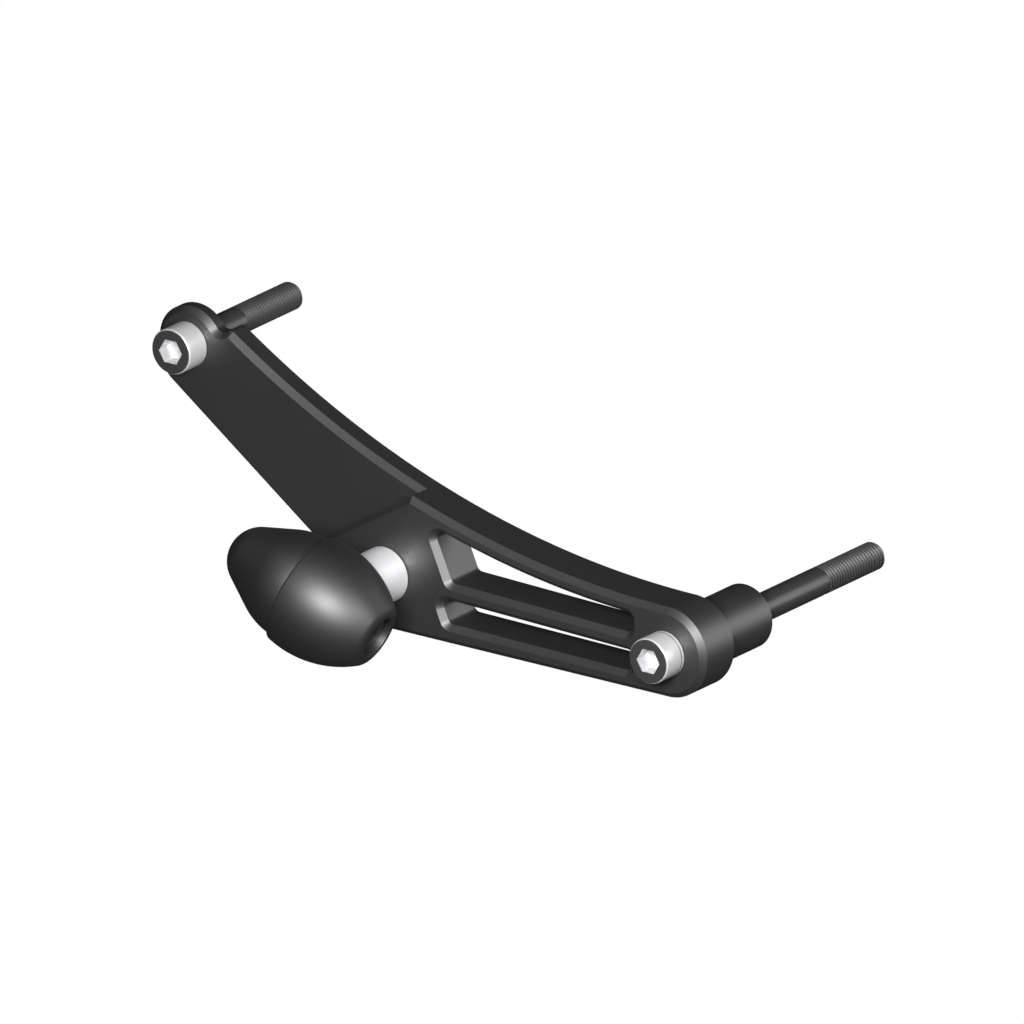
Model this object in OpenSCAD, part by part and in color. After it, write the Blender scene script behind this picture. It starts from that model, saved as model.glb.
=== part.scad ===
// Motorcycle frame slider on its bracket.
// X runs along the bracket, Z is up and Y points towards the motorcycle.
// The origin is the centre of the upper eye's seat, where the bracket meets the motorcycle.

/* [Fixing bolts] */
// How far the lower bolt lies to the right of the upper one
bolt_dx = 203.6; // [195:0.1:212]
// How far the lower bolt lies below the upper one
bolt_drop = 64.9; // [60:0.1:70]
// Thread diameter of the two fixing bolts
bolt_d = 10; // [8:0.5:11]
// Diameter of the fixing bolts' heads
bolt_head_d = 16; // [14:0.5:18]
// Height of the fixing bolts' heads
bolt_head_h = 10; // [8:0.5:11]
// Width across the flats of the fixing bolts' sockets
bolt_hex = 8; // [6:1:9]
// Length of the upper bolt under its head
upper_bolt_l = 60; // [50:5:80]
// Length of the lower bolt under its head
lower_bolt_l = 120; // [100:5:140]
// Length of thread on both fixing bolts
thread_l = 32; // [26:1:38]
// Radial clearance of the fixing bolts' holes
hole_gap = 0.5; // [0.2:0.1:1]

/* [Bracket] */
// Thickness of the thin arm
arm_t = 9; // [7:0.5:12]
// Thickness of the thick end at the lower bolt
pad_t = 17.3; // [15:0.1:22]
// Depth of the relief behind the upper eye
eye_relief = 3; // [1:0.1:4]
// Radius of the relief behind the upper eye
relief_r = 17.5; // [16:0.1:20]
// Width of the chamfer along the front edges
chamfer = 2; // [0.5:0.1:2.5]
// Radius of the eye round the upper bolt
upper_eye_r = 13; // [11.5:0.5:14]
// Radius of the eye round the lower bolt
lower_eye_r = 16; // [14:0.5:18]
// Radius of the hollow top edge
top_r = 340; // [330:1:360]
// Lean of the line from the lower bolt to the centre of the top edge
top_lean = 0.2; // [0:0.1:1]
// Slope of the lower left edge, in degrees
heel_slope = 36.3; // [34:0.1:38]
// Distance from the upper bolt to the lower left edge
heel_off = 16.5; // [15:0.1:18]
// Radius of the notch beside the upper eye
notch_r = 3; // [2:0.1:3.5]
// Direction from the upper bolt to the notch, in degrees
notch_turn = 36; // [33:1:39]
// Radius left on the front face at the tip beside the notch
horn_face_r = 0.4; // [0.3:0.1:1]
// Slope of the step between arm and thick end, in degrees
step_slope = 31.6; // [28:0.1:35]
// Distance from the slider's spacer to the step
step_off = 19.9; // [16:0.1:24]

/* [Lightening slots] */
// Width of the rail above the upper slot, at its left end
top_rail = 6.2; // [5:0.1:8]
// How far the centre of the upper slot's arc lies left of the top edge's centre
top_rail_shift = 2; // [0:0.1:12]
// Width of the rib between the slots
slot_rib = 6.3; // [5:0.1:8]
// Width of the rail below the lower slot, at its left end
low_rail = 6.9; // [5:0.1:9]
// Height of the lower slot at its left end
low_slot_h = 8.4; // [6.5:0.1:9]
// How far the rib between the slots falls to the right, in degrees
rib_slope = 1.5; // [0:0.1:2]
// How far the lower slot's bottom falls to the right, in degrees
rail_slope = 0.7; // [0:0.1:1.5]
// Distance from the slider's spacer to the upper slot
upper_slot_start = 24.8; // [22:0.1:28]
// Distance from the slider's spacer to the lower slot
low_slot_start = 17.9; // [16:0.1:24]
// Lean of the slots' left ends, in degrees
slot_lean = 23.7; // [15:0.1:30]
// Distance from the lower bolt to the slots' right ends
slot_end = 14.6; // [13:0.1:18]
// Corner radius in the slots
slot_r = 2.4; // [1.5:0.1:2.6]

/* [Lower spacer] */
// Diameter of the spacer behind the lower eye
low_spacer_d = 22.7; // [18:0.1:26]
// Length of the spacer behind the lower eye
low_spacer_l = 29; // [15:0.5:40]

/* [Slider mounting] */
// How far the slider's spacer lies to the right of the upper bolt
slider_dx = 87.7; // [84:0.1:92]
// How far the slider's spacer lies below the upper bolt
slider_drop = 61; // [59:0.1:63]
// Diameter of the slider's spacer
spacer_d = 19.4; // [18:0.1:19.6]
// Length of the spacer from the bracket to its shoulder inside the slider
spacer_l = 21; // [20:0.1:22]
// Diameter of the spacer's spigot inside the slider
spigot_d = 15; // [13:0.5:16]
// How far the spigot reaches past the slider's axis
spigot_past = 9; // [7:0.5:11]
// How far the slider's own axis lies in front of the bracket
slider_gap = 35.2; // [34:0.1:37]
// Diameter of the screw that holds the spacer from behind
stud_d = 10; // [8:0.5:10]
// Length of that screw under its head
stud_l = 30; // [25:1:32]
// Diameter of that screw's head
stud_head_d = 16; // [14:0.5:17]
// Height of that screw's head
stud_head_h = 9.6; // [8:0.1:10]
// How far that screw's head lies below the bracket's rear face
stud_sink = 0.5; // [0.2:0.1:1]

/* [Slider] */
// How far the slider's axis dips to the right, in degrees
slider_dip = 22.7; // [18:0.1:24]
// How far the slider's right end turns to the motorcycle, in degrees
slider_toe = 6; // [0:0.1:8]
// Largest radius of the slider's body
body_r = 20.7; // [19.8:0.1:22]
// Distance from the seam to the body's fullest section
body_full = 6.5; // [5:0.1:8]
// Distance from the seam to the body's flat end
body_l = 32.4; // [31:0.1:34]
// Radius of the body's edge at the seam
rim_r = 0.8; // [0.4:0.1:1.2]
// Radius of the body's edge at its flat end
end_r = 4.8; // [2:0.1:5.5]
// Radius of the body's flat end, inside that edge
end_flat_r = 8.3; // [8:0.1:9]
// Distance from the spacer's axis to the seam
seam_off = 9.5; // [9.4:0.1:11]
// Radius of the nose at the seam
nose_r = 18.8; // [18:0.1:19.6]
// Length of the nose
nose_l = 28.4; // [27:0.1:30]
// Radius of the nose's tip
tip_r = 11.7; // [10.5:0.1:12.5]
// Half angle of the nose's straight flank, in degrees
nose_flank = 28.1; // [27:0.1:30]
// How far the nose turns up from the slider's axis, in degrees
nose_rise = 0.9; // [0:0.1:3]

/* [Slider fastening] */
// Diameter of the recess at the slider's right end
recess_d = 15; // [14:0.1:15.4]
// Depth of the recess down to the screw's head
recess_depth = 2.1; // [1:0.1:3]
// Diameter of the screw that clamps the slider together
clamp_d = 8; // [6:0.5:8]
// Length of that screw under its head
clamp_l = 40; // [36:1:42]
// Length of thread on that screw
clamp_thread_l = 22; // [18:1:24]
// Diameter of that screw's head
clamp_head_d = 13; // [11:0.5:13.5]
// Height of that screw's head
clamp_head_h = 8; // [6:0.5:8]
// Width across the flats of that screw's socket
clamp_hex = 6; // [5:0.5:6.5]
// Diameter of the threaded insert in the nose
insert_d = 12; // [11:0.5:13]
// Length of the threaded insert in the nose
insert_l = 14; // [10:0.5:16]
// Radial clearance of the slider on the spacer and the screws
loose_gap = 0.15; // [0.1:0.05:0.4]

/* [Hidden] */
$fa = 2;
$fs = 0.4;

// A little extra so that cutters run past the faces that they cut
over = 0.5;
// The same for the chamfer cutters
lip = 0.2;
// Curves and lines that only touch overlap by this much, so that they surely join
bite = 0.005;
// How far the chamfer on the horn's small arc runs past the arc's ends, in degrees
turn_past = 2;
// The same for the long hollow edges
edge_past = 0.1;
// Radial play between a thread and its mating thread
thread_gap = 0.03;
// How far a fixing hole runs past the end of its screw
drill_past = 3;

black = [0.16, 0.16, 0.165];
steel = [0.72, 0.73, 0.75];

// Places in the plate's own plane: first along the bracket, then upwards
upper = [0, 0];
lower = [bolt_dx, -bolt_drop];
slider = [slider_dx, -slider_drop];

function unit(v) = v / norm(v);
function polar(r, a) = [r * cos(a), r * sin(a)];
function angle_of(v) = atan2(v[1], v[0]);
function left_of(v) = [-v[1], v[0]];
function cross2(a, b) = a[0] * b[1] - a[1] * b[0];

// Where two lines meet, each given by a point and a direction
function meet(p, d, q, e) = p + d * (cross2(q - p, e) / cross2(d, e));

// Where the line through p along d leaves the circle of radius r round c
function leave_circle(p, d, c, r) =
    let (m = p + d * ((c - p) * d)) m + d * sqrt(r * r - (m - c) * (m - c));

// Where two circles meet, on the left going from the first centre to the second
function circles_meet(c1, r1, c2, r2) =
    let (d = norm(c2 - c1), u = unit(c2 - c1), a = (d * d + r1 * r1 - r2 * r2) / (2 * d))
        c1 + a * u + sqrt(r1 * r1 - a * a) * left_of(u);

// Outline of the bracket
top_c = lower + polar(top_r + lower_eye_r - bite, 90 - top_lean);
heel_normal = polar(1, 270 - heel_slope);
eye_drop = (heel_off - upper_eye_r) / cos(heel_slope);
heel_c = upper - [0, eye_drop];
heel_p = heel_c + (upper_eye_r - bite) * heel_normal;
base_z = lower[1] - lower_eye_r + bite;
corner = meet(heel_p, left_of(heel_normal), [0, base_z], [1, 0]);
notch_c = upper + polar(upper_eye_r + notch_r - bite, notch_turn);
horn_r = chamfer + horn_face_r;
horn_c = circles_meet(top_c, top_r + horn_r - bite, notch_c, notch_r + horn_r - bite);
step_d = polar(1, step_slope);
step_p = slider + step_off * left_of(step_d);

// Walls of the slots, each a point and a direction with the slot on its left
lean_d = polar(1, slot_lean - 90);
rib_d = polar(1, -rib_slope);
rail_d = polar(1, -rail_slope);
end_d = [0, 1];
low_p = slider + low_slot_start * left_of(lean_d);
up_p = slider + upper_slot_start * left_of(lean_d);
end_p = [lower[0] - slot_end, 0];
rail_p = meet(low_p, lean_d, [0, base_z + low_rail], [1, 0]);
rib_low_p = rail_p + [0, low_slot_h];
rib_up_p = rib_low_p + [0, slot_rib];
slot_top_c = top_c - [top_rail_shift, 0];
slot_top_r = top_r + top_rail - top_rail_shift * (top_c[0] - up_p[0]) / top_r;

// Centres of the slots' rounded corners, anticlockwise from the lower left one
function inset(p, d) = p + slot_r * left_of(d);
function corner_c(p, d, q, e) = meet(inset(p, d), d, inset(q, e), e);
low_corners = [corner_c(low_p, lean_d, rail_p, rail_d), corner_c(end_p, end_d, rail_p, rail_d),
    corner_c(end_p, end_d, rib_low_p, -rib_d), corner_c(low_p, lean_d, rib_low_p, -rib_d)];
up_corners = [corner_c(up_p, lean_d, rib_up_p, rib_d), corner_c(end_p, end_d, rib_up_p, rib_d),
    leave_circle(inset(end_p, end_d), -end_d, slot_top_c, slot_top_r + slot_r - bite),
    leave_circle(inset(up_p, lean_d), lean_d, slot_top_c, slot_top_r + slot_r - bite)];
low_dirs = [rail_d, end_d, -rib_d, lean_d];
up_dirs = [rib_d, end_d, -rib_d, lean_d];
up_arc = [for (i = [2, 3]) slot_top_c + slot_top_r * unit(up_corners[i] - slot_top_c)];

// The straight wall that leads from corner i to the next one, as its two end points
function wall(corners, dirs, i) =
    [for (c = [corners[i], corners[(i + 1) % 4]]) c - (slot_r - bite) * left_of(dirs[i])];

// Moves a shape drawn in the plate's plane into place, thickness towards the front
module plate() { translate([0, eye_relief, 0]) rotate([90, 0, 0]) children(); }

// Cuts a chamfer along a straight edge from p to q at height top, material on its left
module bevel_line(p, q, top, past = 0) {
    d = unit(q - p);
    s = p - d * past;
    translate([s[0], s[1], top])
        rotate([0, 0, angle_of(d)])
            rotate([90, 0, 90])
                linear_extrude(norm(q - p) + 2 * past)
                    polygon([[-lip, lip], [chamfer + lip, lip], [-lip, -chamfer - lip]]);
}

// Cuts a chamfer along an arc at height top: side 1 has the material outside it, side -1 inside
module bevel_arc(c, r, from, to, side, top) {
    translate([c[0], c[1], top])
        rotate([0, 0, from])
            rotate_extrude(angle = to - from)
                polygon([[r - side * lip, lip], [r + side * (chamfer + lip), lip],
                    [r - side * lip, -chamfer - lip]]);
}

// Cuts a chamfer round a hole of radius r
module bevel_hole(c, r, top) {
    translate([c[0], c[1], top - chamfer - lip])
        cylinder(r1 = r - lip, r2 = r + chamfer + lip, h = chamfer + 2 * lip);
}

module drill(c, r, from, to) {
    translate([c[0], c[1], from]) cylinder(r = r, h = to - from);
}

module outline() {
    above = top_c - [0, top_r / 2];
    to_top = unit(top_c - horn_c);
    to_notch = unit(notch_c - horn_c);
    difference() {
        union() {
            translate(upper) circle(r = upper_eye_r);
            translate(heel_c) circle(r = upper_eye_r);
            translate([bite - upper_eye_r, -eye_drop]) square([upper_eye_r, eye_drop]);
            translate(lower) circle(r = lower_eye_r);
            difference() {
                polygon([heel_c, heel_p, corner, [lower[0], base_z], lower, above,
                    [notch_c[0], above[1]], notch_c, upper]);
                translate(top_c) circle(r = top_r);
            }
        }
        translate(notch_c) circle(r = notch_r);
        polygon([horn_c, horn_c + horn_r * to_top, horn_c + 2 * horn_r * (to_top + to_notch),
            horn_c + horn_r * to_notch]);
    }
    translate(horn_c) circle(r = horn_r);
}

// Everything on the thick side of the step, as a flat shape
module thick_side() {
    reach = 2 * bolt_dx;
    translate(step_p) rotate([0, 0, step_slope]) translate([-reach, -reach]) square([2 * reach, reach]);
}

// Chamfers along the outline with the front face at height top
module outline_bevels(top) {
    horn_a = angle_of(top_c - horn_c);
    bevel_hole(notch_c, notch_r, top);
    bevel_arc(upper, upper_eye_r, notch_turn, 180, -1, top);
    bevel_line([-upper_eye_r, 0], [-upper_eye_r, -eye_drop], top);
    bevel_arc(heel_c, upper_eye_r, 180, 270 - heel_slope, -1, top);
    bevel_line(heel_p, corner, top, chamfer);
    bevel_line(corner, [lower[0], base_z], top, chamfer);
    bevel_arc(lower, lower_eye_r, -90, 90 - top_lean, -1, top);
    bevel_arc(top_c, top_r, 180 + horn_a - edge_past, 270 - top_lean + edge_past, 1, top);
    bevel_arc(horn_c, horn_r, horn_a - turn_past, angle_of(notch_c - horn_c) + turn_past, -1, top);
}

module low_slot() {
    for (c = low_corners) translate(c) circle(r = slot_r);
    polygon([for (i = [0 : 3]) each wall(low_corners, low_dirs, i)]);
}

module up_slot() {
    for (c = up_corners) translate(c) circle(r = slot_r);
    difference() {
        polygon([each wall(up_corners, up_dirs, 0), each wall(up_corners, up_dirs, 1), each up_arc,
            each wall(up_corners, up_dirs, 3)]);
        translate(slot_top_c) circle(r = slot_top_r);
    }
}

module slot_bevels(top) {
    for (c = concat(low_corners, up_corners)) bevel_hole(c, slot_r, top);
    for (i = [0 : 3]) {
        w = wall(low_corners, low_dirs, i);
        bevel_line(w[1], w[0], top);
    }
    for (i = [0, 1, 3]) {
        w = wall(up_corners, up_dirs, i);
        bevel_line(w[1], w[0], top);
    }
    a = [for (p = up_arc) angle_of(p - slot_top_c)];
    bevel_arc(slot_top_c, slot_top_r, a[1] - edge_past, a[0] + edge_past, -1, top);
}

module bracket() {
    color(black) plate() difference() {
        union() {
            difference() {
                linear_extrude(arm_t) difference() {
                    outline();
                    thick_side();
                }
                outline_bevels(arm_t);
            }
            difference() {
                linear_extrude(pad_t) intersection() {
                    outline();
                    thick_side();
                }
                outline_bevels(pad_t);
                bevel_line(step_p + step_d * bolt_dx, step_p - step_d * bolt_dx, pad_t);
            }
        }
        translate([0, 0, -over]) linear_extrude(pad_t + 2 * over) {
            low_slot();
            up_slot();
        }
        slot_bevels(pad_t);
        drill(upper, relief_r, -over, eye_relief);
        drill(upper, bolt_d / 2 + hole_gap, -over, pad_t);
        drill(lower, bolt_d / 2 + hole_gap, -over, pad_t + over);
        drill(slider, stud_d / 2 + hole_gap, -over, pad_t + over);
        drill(slider, stud_head_d / 2 + hole_gap, -over, stud_sink + stud_head_h);
    }
}

// A cap screw along +Z with its seat at the origin and its head below. A shallow neck parts its
// plain shank from its thread, which is drawn as a plain cylinder of the thread's outer radius.
module cap_screw(d, l, head_d, head_h, hex, thread) {
    rim = head_d / 16;
    tip = d / 10;
    depth = head_h / 2;
    neck = d / 10;
    difference() {
        union() {
            rotate_extrude() {
                translate([0, -head_h]) square([head_d / 2 - rim, head_h]);
                translate([0, -head_h + rim]) square([head_d / 2, head_h - rim]);
                translate([head_d / 2 - rim, -head_h + rim]) circle(r = rim);
            }
            cylinder(r = d / 2, h = l - thread - neck);
            translate([0, 0, l - thread - neck - over]) cylinder(r = d / 2 - neck / 3, h = neck + 2 * over);
            translate([0, 0, l - thread]) cylinder(r = d / 2, h = thread - tip);
            translate([0, 0, l - tip]) cylinder(r1 = d / 2, r2 = d / 2 - tip, h = tip);
        }
        translate([0, 0, -head_h - over]) cylinder(d = hex / cos(30), h = depth + over, $fn = 6);
        translate([0, 0, -depth]) cylinder(d1 = hex, d2 = 0, h = hex / 4);
    }
}

module fixing_bolt(c, seat, l) {
    color(steel) translate([c[0], eye_relief - seat, c[1]]) rotate([-90, 0, 0])
        cap_screw(bolt_d, l, bolt_head_d, bolt_head_h, bolt_hex, thread_l);
}

module upper_bolt() { fixing_bolt(upper, arm_t, upper_bolt_l); }

module lower_bolt() { fixing_bolt(lower, pad_t, lower_bolt_l); }

module lower_spacer() {
    edge = 0.6;
    r = low_spacer_d / 2;
    color(black) translate([lower[0], eye_relief, lower[1]]) rotate([-90, 0, 0]) difference() {
        union() {
            cylinder(r1 = r - edge, r2 = r, h = edge);
            translate([0, 0, edge]) cylinder(r = r, h = low_spacer_l - 2 * edge);
            translate([0, 0, low_spacer_l - edge]) cylinder(r1 = r, r2 = r - edge, h = edge);
        }
        translate([0, 0, -over]) cylinder(r = bolt_d / 2 + hole_gap, h = low_spacer_l + 2 * over);
    }
}

// Puts its children on the slider's axis, +Z to the right end, zero at the spacer's axis
module on_slider() {
    translate([slider[0], eye_relief - pad_t - slider_gap, slider[1]])
        rotate([0, 90 + slider_dip, slider_toe]) children();
}

// The same with zero at the seam
module on_seam() { on_slider() translate([0, 0, -seam_off]) children(); }

// Puts its children on the spacer's axis, +Z to the front, zero at the bracket's front face
module on_spacer() {
    translate([slider[0], eye_relief - pad_t, slider[1]]) rotate([90, 0, 0]) children();
}

spigot_end = slider_gap + spigot_past;
clamp_hole_r = clamp_d / 2 + 2 * loose_gap;
clamp_seat = body_l - seam_off - recess_depth - clamp_head_h;
clamp_tip = clamp_seat + seam_off - clamp_l;

module slider_spacer() {
    color([0.85, 0.86, 0.88]) difference() {
        on_spacer() {
            cylinder(d = spacer_d, h = spacer_l);
            cylinder(d = spigot_d, h = spigot_end);
        }
        on_spacer() translate([0, 0, -over])
            cylinder(r = stud_d / 2 + thread_gap, h = stud_l + stud_sink + stud_head_h - pad_t + drill_past);
        on_slider() translate([0, 0, -spigot_d]) cylinder(r = clamp_hole_r, h = 2 * spigot_d);
    }
}

module spacer_screw() {
    color(steel) on_spacer() translate([0, 0, stud_sink + stud_head_h - pad_t])
        cap_screw(stud_d, stud_l, stud_head_d, stud_head_h, bolt_hex, stud_l - stud_head_h);
}

// The body's long curve is one arc, upright at the fullest section, that runs into both rounded edges
end_in = body_r - end_flat_r;
end_far = body_l - end_r - body_full;
body_curve = (end_in * end_in + end_far * end_far - end_r * end_r) / (2 * (end_in - end_r));
body_arc_c = [body_r - body_curve, body_full];
rim_c = [body_arc_c[0] + sqrt(pow(body_curve - rim_r, 2) - pow(rim_r - body_full, 2)), rim_r];
end_c = [end_flat_r, body_l - end_r];
function edge_p(c) = body_arc_c + body_curve * unit(c - body_arc_c);

module body_shape() {
    rim_p = edge_p(rim_c);
    end_p = edge_p(end_c);
    translate(rim_c) circle(r = rim_r);
    translate(end_c) circle(r = end_r);
    polygon([[0, 0], [rim_c[0], 0], rim_c, rim_p, end_p, end_c, [end_c[0], body_l], [0, body_l]]);
    intersection() {
        translate(body_arc_c) circle(r = body_curve);
        polygon([[0, rim_p[1]], [body_r + over, rim_p[1]], [body_r + over, end_p[1]], [0, end_p[1]]]);
    }
}

// The hole for the spacer: wide for its collar, then narrow for its spigot
module spacer_pocket() {
    collar = spacer_d / 2 + loose_gap;
    spigot = spigot_d / 2 + loose_gap;
    end = spigot_end + loose_gap;
    on_spacer() rotate_extrude()
        polygon([[0, 0], [collar, 0], [collar, spacer_l], [spigot, spacer_l], [spigot, end], [0, end]]);
}

module slider_body() {
    color(black) difference() {
        on_seam() rotate([0, 0, 90]) rotate_extrude() body_shape();
        spacer_pocket();
        on_seam() translate([0, 0, -over]) cylinder(r = clamp_hole_r, h = body_l);
        on_slider() translate([0, 0, clamp_seat])
            cylinder(d = recess_d, h = recess_depth + clamp_head_h + over);
    }
}

// The nose has a shoulder arc, a straight flank and a round tip, each tangent to the next.
// It reaches past the seam, where it is cut off.
module nose_shape() {
    past = nose_r * sin(nose_rise) + over;
    tip_t = nose_l - tip_r;
    flank_off = tip_r + tip_t * sin(nose_flank);
    shoulder = (flank_off - nose_r * cos(nose_flank)) / (1 - cos(nose_flank));
    a = [nose_r - shoulder + shoulder * cos(nose_flank), -shoulder * sin(nose_flank)];
    b = [tip_r * cos(nose_flank), -tip_t - tip_r * sin(nose_flank)];
    intersection() {
        translate([nose_r - shoulder, 0]) circle(r = shoulder);
        translate([0, a[1]]) square([nose_r + over, past - a[1]]);
    }
    polygon([[0, -tip_t], b, a, [a[0], past], [0, past]]);
    intersection() {
        translate([0, -tip_t]) circle(r = tip_r);
        translate([0, -nose_l - over]) square([2 * tip_r, nose_l]);
    }
}

module slider_nose() {
    color(black) on_seam() difference() {
        rotate([0, nose_rise, 0]) rotate_extrude() nose_shape();
        cylinder(r = nose_r + 2 * over, h = nose_r);
        translate([0, 0, -insert_l]) cylinder(r = insert_d / 2 + thread_gap, h = insert_l + over);
        translate([0, 0, clamp_tip - drill_past]) cylinder(r = clamp_hole_r, h = over - clamp_tip + drill_past);
    }
}

module clamp_screw() {
    color(steel) on_slider() translate([0, 0, clamp_seat]) rotate([180, 0, 0])
        cap_screw(clamp_d, clamp_l, clamp_head_d, clamp_head_h, clamp_hex, clamp_thread_l);
}

module nose_insert() {
    color("goldenrod") on_seam() translate([0, 0, -insert_l]) difference() {
        cylinder(d = insert_d, h = insert_l);
        translate([0, 0, -over]) cylinder(r = clamp_d / 2 + thread_gap, h = insert_l + 2 * over);
    }
}

bracket();
upper_bolt();
lower_bolt();
lower_spacer();
slider_spacer();
spacer_screw();
slider_body();
slider_nose();
clamp_screw();
nose_insert();
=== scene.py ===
"""The looks of the motorcycle frame slider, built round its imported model.

X runs along the bracket, Y points towards the motorcycle and Z is up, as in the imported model.
Sizes below are in millimetres. Every finished piece is in metres, with its place in its mesh.
"""
import math

import bmesh
import bpy
from mathutils import Matrix, Vector


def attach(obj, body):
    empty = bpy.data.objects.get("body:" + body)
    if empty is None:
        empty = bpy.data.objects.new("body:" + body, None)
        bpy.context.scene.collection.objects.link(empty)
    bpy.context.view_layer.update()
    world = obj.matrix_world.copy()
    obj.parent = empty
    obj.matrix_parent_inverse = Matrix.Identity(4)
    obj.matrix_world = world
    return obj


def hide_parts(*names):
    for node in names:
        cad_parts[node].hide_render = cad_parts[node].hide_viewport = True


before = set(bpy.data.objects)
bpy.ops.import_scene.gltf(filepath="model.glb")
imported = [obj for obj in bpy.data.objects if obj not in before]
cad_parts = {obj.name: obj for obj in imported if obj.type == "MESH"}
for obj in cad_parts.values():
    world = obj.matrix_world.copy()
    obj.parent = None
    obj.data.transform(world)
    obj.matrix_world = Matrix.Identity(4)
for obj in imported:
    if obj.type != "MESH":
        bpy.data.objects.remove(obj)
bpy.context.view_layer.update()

MM = 0.001

# ---------- the sizes of the real pieces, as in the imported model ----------
BOLT_DX, BOLT_DROP = 203.6, 64.9
BOLT_D, BOLT_HEAD_D, BOLT_HEAD_H, BOLT_HEX = 10.0, 16.0, 10.0, 8.0
UPPER_BOLT_L, LOWER_BOLT_L, THREAD_L = 60.0, 120.0, 32.0
HOLE_GAP = 0.5

ARM_T, PAD_T = 9.0, 17.3
EYE_RELIEF, RELIEF_R = 3.0, 17.5
CHAMFER = 2.0
UPPER_EYE_R, LOWER_EYE_R = 13.0, 16.0
TOP_R, TOP_LEAN = 340.0, 0.2
HEEL_SLOPE, HEEL_OFF = 36.3, 16.5
NOTCH_R, NOTCH_TURN, HORN_FACE_R = 3.0, 36.0, 0.4
STEP_SLOPE, STEP_OFF = 31.6, 19.9

TOP_RAIL, TOP_RAIL_SHIFT = 6.2, 2.0
SLOT_RIB, LOW_RAIL, LOW_SLOT_H = 6.3, 6.9, 8.4
RIB_SLOPE, RAIL_SLOPE, SLOT_LEAN = 1.5, 0.7, 23.7
UPPER_SLOT_START, LOW_SLOT_START = 24.8, 17.9
SLOT_END, SLOT_R = 14.6, 2.4

LOW_SPACER_D, LOW_SPACER_L = 22.7, 29.0

SLIDER_DX, SLIDER_DROP = 87.7, 61.0
SPACER_D, SPACER_L, SPIGOT_D, SPIGOT_PAST = 19.4, 21.0, 15.0, 9.0
SLIDER_GAP = 35.2
STUD_D, STUD_L, STUD_HEAD_D, STUD_HEAD_H, STUD_SINK = 10.0, 30.0, 16.0, 9.6, 0.5

SLIDER_DIP, SLIDER_TOE = 22.7, 6.0
BODY_R, BODY_FULL, BODY_L = 20.7, 6.5, 32.4
RIM_R, END_R, END_FLAT_R = 0.8, 4.8, 8.3
SEAM_OFF = 9.5
NOSE_R, NOSE_L, TIP_R, NOSE_FLANK, NOSE_RISE = 18.8, 28.4, 11.7, 28.1, 0.9

RECESS_D, RECESS_DEPTH = 15.0, 2.1
CLAMP_D, CLAMP_L, CLAMP_THREAD_L = 8.0, 40.0, 22.0
CLAMP_HEAD_D, CLAMP_HEAD_H, CLAMP_HEX = 13.0, 8.0, 6.0
INSERT_D, INSERT_L = 12.0, 14.0
LOOSE_GAP, THREAD_GAP, DRILL_PAST = 0.15, 0.03, 3.0

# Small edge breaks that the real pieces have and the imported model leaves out
EDGE_BREAK = 0.2
OVER = 1.0

SPIGOT_END = SLIDER_GAP + SPIGOT_PAST
CLAMP_HOLE_R = CLAMP_D / 2 + 2 * LOOSE_GAP
CLAMP_SEAT = BODY_L - SEAM_OFF - RECESS_DEPTH - CLAMP_HEAD_H
CLAMP_TIP = CLAMP_SEAT + SEAM_OFF - CLAMP_L

# Pitch of the threads by their diameter
PITCH = {10.0: 1.5, 8.0: 1.25}
TURN_STEPS = 72


# ---------- places ----------
def turn(degrees, axis):
    return Matrix.Rotation(math.radians(degrees), 4, axis)


def shift(x, y, z):
    return Matrix.Translation((x * MM, y * MM, z * MM))


TO_METRES = Matrix.Scale(MM, 4)
UPPER_BOLT_PLACE = shift(0, EYE_RELIEF - ARM_T, 0) @ turn(-90, "X") @ TO_METRES
LOWER_BOLT_PLACE = shift(BOLT_DX, EYE_RELIEF - PAD_T, -BOLT_DROP) @ turn(-90, "X") @ TO_METRES
LOWER_SPACER_PLACE = shift(BOLT_DX, EYE_RELIEF, -BOLT_DROP) @ turn(-90, "X") @ TO_METRES
SPACER_PLACE = shift(SLIDER_DX, EYE_RELIEF - PAD_T, -SLIDER_DROP) @ turn(90, "X") @ TO_METRES
SLIDER_PLACE = (shift(SLIDER_DX, EYE_RELIEF - PAD_T - SLIDER_GAP, -SLIDER_DROP)
                @ turn(SLIDER_TOE, "Z") @ turn(90 + SLIDER_DIP, "Y") @ TO_METRES)
SEAM_PLACE = SLIDER_PLACE @ Matrix.Translation((0, 0, -SEAM_OFF))
SPACER_SCREW_PLACE = SPACER_PLACE @ Matrix.Translation((0, 0, STUD_SINK + STUD_HEAD_H - PAD_T))
CLAMP_PLACE = SLIDER_PLACE @ Matrix.Translation((0, 0, CLAMP_SEAT)) @ turn(180, "X")


def polar(radius, degrees):
    return Vector((radius * math.cos(math.radians(degrees)), radius * math.sin(math.radians(degrees))))


def angle_of(v):
    return math.degrees(math.atan2(v.y, v.x))


def left_of(v):
    return Vector((-v.y, v.x))


def cross2(a, b):
    return a.x * b.y - a.y * b.x


def meet(p, d, q, e):
    """Where the line through p along d meets the line through q along e."""
    return p + d * (cross2(q - p, e) / cross2(d, e))


def leave_circle(p, d, c, r):
    """Where the line through p along d leaves the circle of radius r round c."""
    m = p + d * (c - p).dot(d)
    return m + d * math.sqrt(r * r - (m - c).length_squared)


def circles_meet(c1, r1, c2, r2):
    """Where two circles meet, on the left going from the first centre to the second."""
    along = c2 - c1
    u = along.normalized()
    a = (along.length_squared + r1 * r1 - r2 * r2) / (2 * along.length)
    return c1 + a * u + math.sqrt(r1 * r1 - a * a) * left_of(u)


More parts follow.
